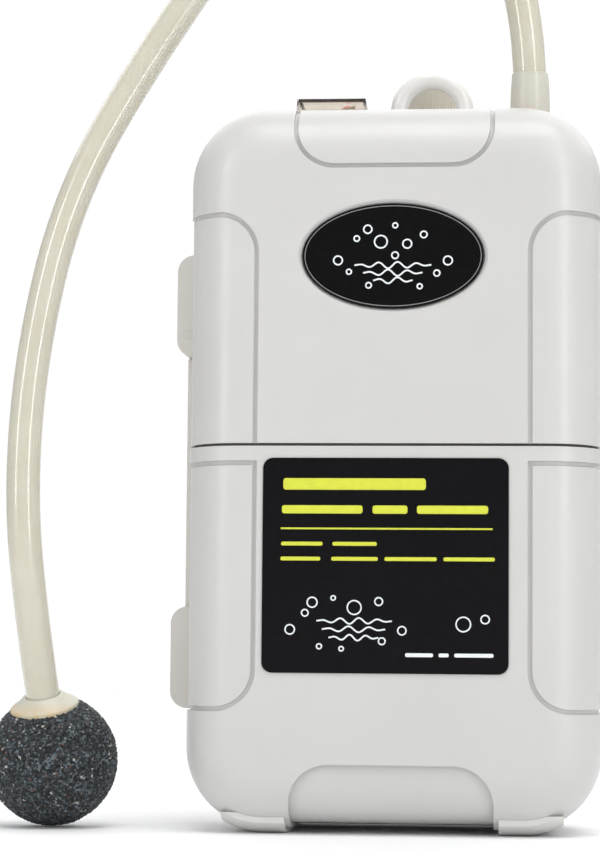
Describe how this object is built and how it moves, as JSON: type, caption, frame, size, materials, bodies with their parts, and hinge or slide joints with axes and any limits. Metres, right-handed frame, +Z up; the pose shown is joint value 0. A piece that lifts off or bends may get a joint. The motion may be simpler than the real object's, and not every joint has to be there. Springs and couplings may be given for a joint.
{
  "type": "air pump",
  "caption": "Upright battery-powered aquarium air pump in a rounded two-part housing, with a hose and air stone, a hanging ring, a belt clip and a hooded switch.",
  "frame": {"origin": "centre of the footprint of the pump without its hose line, on the surface it stands on", "axes": "+Z up, front with the badge and label towards -Y, +X to the object's right as seen from the front"},
  "size_m": [0.1145, 0.0516, 0.1856],
  "materials": {
    "housing": "fine moulded texture, warm off-white",
    "ring": "smooth off-white",
    "clip_plastic": "moulded, greyer off-white",
    "pin_steel": "ground",
    "spring_steel": "drawn wire or strip",
    "screw_steel": "zinc plated",
    "label": "black film label with a plain printed pattern",
    "badge": "black gloss plate with a plain printed pattern",
    "foot_rubber": "cream, matt",
    "frame_plastic": "plain moulding",
    "contact_metal": "nickel-plated strip",
    "cell_jacket": "printed jacket, plain bands",
    "gasket": "dark seam ring",
    "switch_plastic": "beige moulding",
    "switch_mark": "red dome",
    "clear_hood": "clear soft hood",
    "sleeve": "cream, soft",
    "motor_steel": "drawn can",
    "motor_cap": "white moulding",
    "armature": "laminations and windings",
    "crank_plastic": "plain moulding",
    "diaphragm_rubber": "black, matt",
    "inner_tube": "soft tube",
    "filter_felt": "felt plug",
    "wire_red": "insulated wire",
    "wire_black": "insulated wire",
    "hose_vinyl": "translucent cream vinyl",
    "stone_nipple": "cream, worn to orange-beige",
    "stone": "bonded mineral grains, dark grey"
  },
  "bodies": {
    "battery_cup": {"battery_cup": "housing", "cup_label": "label", "foot_left": "foot_rubber", "foot_right": "foot_rubber", "cell_cradle": "frame_plastic", "link_plate": "contact_metal", "link_spring": "spring_steel", "cell_left": "cell_jacket", "cell_right": "cell_jacket"},
    "pump_head": {"upper_front_shell": "housing", "upper_rear_shell": "housing", "head_base": "frame_plastic", "seam_gasket": "gasket", "housing_screws": "screw_steel", "badge_plate": "badge", "hang_ring": "ring", "switch_frame": "switch_plastic", "switch_terminals": "contact_metal", "switch_boot": "clear_hood", "outlet_nozzle": "frame_plastic", "outlet_sleeve": "sleeve", "latch_bracket": "clip_plastic", "latch_pin": "pin_steel", "clip_pin": "pin_steel", "motor_frame": "frame_plastic", "motor_can": "motor_steel", "motor_end_cap": "motor_cap", "motor_strap": "spring_steel", "pump_chamber": "frame_plastic", "valve_plate": "frame_plastic", "valve_flaps": "diaphragm_rubber", "diaphragm": "diaphragm_rubber", "diaphragm_clamp": "crank_plastic", "clamp_screws": "screw_steel", "air_line": "inner_tube", "intake_filter": "filter_felt", "contact_positive": "contact_metal", "contact_negative": "contact_metal", "contact_spring": "spring_steel", "wire_positive": "wire_red", "wire_negative": "wire_black", "wire_motor": "wire_red", "hose": "hose_vinyl", "stone_nipple": "stone_nipple", "air_stone": "stone"},
    "latch_arm": {"latch_arm": "clip_plastic"},
    "belt_clip": {"belt_clip": "clip_plastic", "clip_spring": "spring_steel"},
    "rocker": {"switch_rocker": "switch_plastic", "switch_dot": "switch_mark"},
    "rotor": {"motor_shaft": "pin_steel", "motor_armature": "armature", "crank": "crank_plastic"},
    "conrod": {"conrod": "crank_plastic"}
  },
  "joints": [
    {"name": "head_lift", "type": "slide", "parent": "battery_cup", "child": "pump_head", "axis": [0, 0, 1], "range_m": [0, 0.012]},
    {"name": "latch_swing", "type": "hinge", "parent": "pump_head", "child": "latch_arm", "pos_m": [-0.0377, -0.00088, 0.093], "axis": [0, 1, 0], "range_deg": [0, 70]},
    {"name": "clip_squeeze", "type": "hinge", "parent": "pump_head", "child": "belt_clip", "pos_m": [0.0077, 0.02243, 0.112], "axis": [1, 0, 0], "range_deg": [0, 12], "stiffness_Nm_per_rad": 0.8, "springref_deg": -6.88},
    {"name": "rocker_tilt", "type": "hinge", "parent": "pump_head", "child": "rocker", "pos_m": [-0.01, -0.00658, 0.1333], "axis": [0, 1, 0], "range_deg": [0, 20]},
    {"name": "motor_spin", "type": "hinge", "parent": "pump_head", "child": "rotor", "pos_m": [-0.0127, -0.00558, 0.104], "axis": [1, 0, 0], "continuous": true},
    {"name": "rod_swing", "type": "hinge", "parent": "rotor", "child": "conrod", "pos_m": [0.0031, -0.00558, 0.1053], "axis": [1, 0, 0], "continuous": true}
  ],
  "couplings": [
    {"joint": "rod_swing", "follows": "motor_spin", "ratio": -1}
  ]
}
